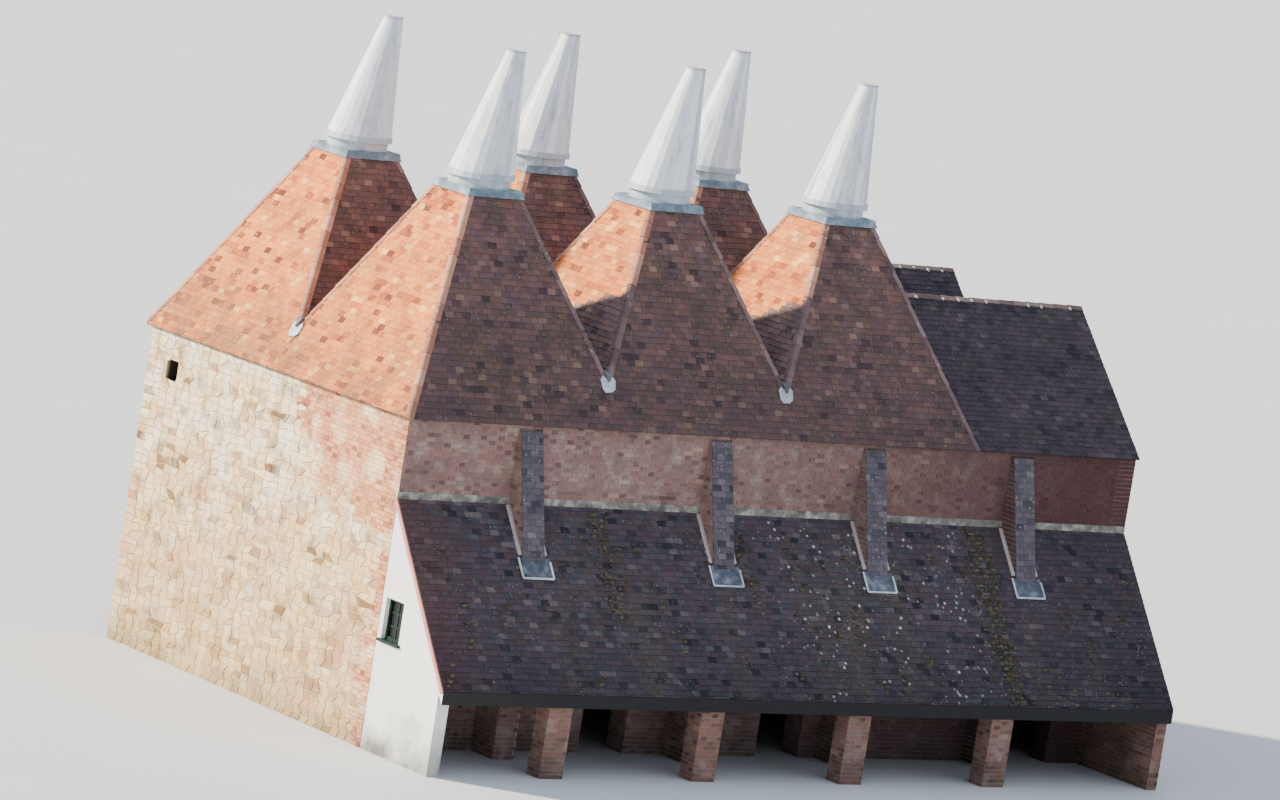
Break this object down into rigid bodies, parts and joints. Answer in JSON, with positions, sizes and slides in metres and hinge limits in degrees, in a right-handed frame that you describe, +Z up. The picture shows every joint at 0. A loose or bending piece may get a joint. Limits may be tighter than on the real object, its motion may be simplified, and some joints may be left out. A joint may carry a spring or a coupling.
{
  "type": "oast house",
  "caption": "Oast house with square tiled kilns under white turning cowls, a lean-to along the front and a double-roofed stowage range at one end.",
  "frame": {"origin": "middle of the part's outer box at ground level", "axes": "+X along the front to the right, +Y from the lean-to towards the rear, +Z up"},
  "size_m": [15.035, 9.845, 11],
  "materials": {
    "brick": "weathered red stock brick",
    "stone": "cream rubble stone in lime mortar",
    "kiln_tile": "plain clay tiles, sooty and worn",
    "mossy_tile": "dark plain tiles with moss",
    "lead": "dull grey sheet lead",
    "white_boards": "white painted boards",
    "oak": "rough sawn timber",
    "whitewash": "limewashed brickwork",
    "green_paint": "dark green gloss paint",
    "glass": "old window glass"
  },
  "bodies": {
    "building": {"front_wall": "brick", "left_wall": "stone", "rear_wall": "brick", "right_wall": "brick", "dividing_walls": "brick", "cross_walls": "brick", "kiln_roof_1": "kiln_tile", "kiln_roof_2": "kiln_tile", "kiln_roof_3": "kiln_tile", "kiln_roof_4": "kiln_tile", "kiln_roof_5": "kiln_tile", "kiln_roof_6": "kiln_tile", "valley_gutters": "lead", "cowl_curbs": "lead", "cowl_bearers": "oak", "buttresses": "brick", "lean_to_roof": "mossy_tile", "lean_to_plate": "oak", "lean_to_piers": "brick", "lean_to_left_wall": "whitewash", "lean_to_right_wall": "brick", "lean_to_window": "green_paint", "lean_to_glass": "glass", "lean_to_flashing": "lead", "range_front_wall": "brick", "range_rear_wall": "brick", "range_end_wall": "brick", "range_roofs": "kiln_tile", "range_valley_beam": "oak"},
    "turning_cowl_1": {"cowl_1": "white_boards", "spindle_1": "oak"},
    "turning_cowl_2": {"cowl_2": "white_boards", "spindle_2": "oak"},
    "turning_cowl_3": {"cowl_3": "white_boards", "spindle_3": "oak"},
    "turning_cowl_4": {"cowl_4": "white_boards", "spindle_4": "oak"},
    "turning_cowl_5": {"cowl_5": "white_boards", "spindle_5": "oak"},
    "turning_cowl_6": {"cowl_6": "white_boards", "spindle_6": "oak"}
  },
  "joints": [
    {"name": "cowl_turn_1", "type": "hinge", "parent": "building", "child": "turning_cowl_1", "pos_m": [-5.3575, -0.8375, 8.94], "axis": [0, 0, 1], "continuous": true},
    {"name": "cowl_turn_2", "type": "hinge", "parent": "building", "child": "turning_cowl_2", "pos_m": [-1.7575, -0.8375, 8.94], "axis": [0, 0, 1], "continuous": true},
    {"name": "cowl_turn_3", "type": "hinge", "parent": "building", "child": "turning_cowl_3", "pos_m": [1.8425, -0.8375, 8.94], "axis": [0, 0, 1], "continuous": true},
    {"name": "cowl_turn_4", "type": "hinge", "parent": "building", "child": "turning_cowl_4", "pos_m": [-5.3575, 2.7625, 8.94], "axis": [0, 0, 1], "continuous": true},
    {"name": "cowl_turn_5", "type": "hinge", "parent": "building", "child": "turning_cowl_5", "pos_m": [-1.7575, 2.7625, 8.94], "axis": [0, 0, 1], "continuous": true},
    {"name": "cowl_turn_6", "type": "hinge", "parent": "building", "child": "turning_cowl_6", "pos_m": [1.8425, 2.7625, 8.94], "axis": [0, 0, 1], "continuous": true}
  ]
}
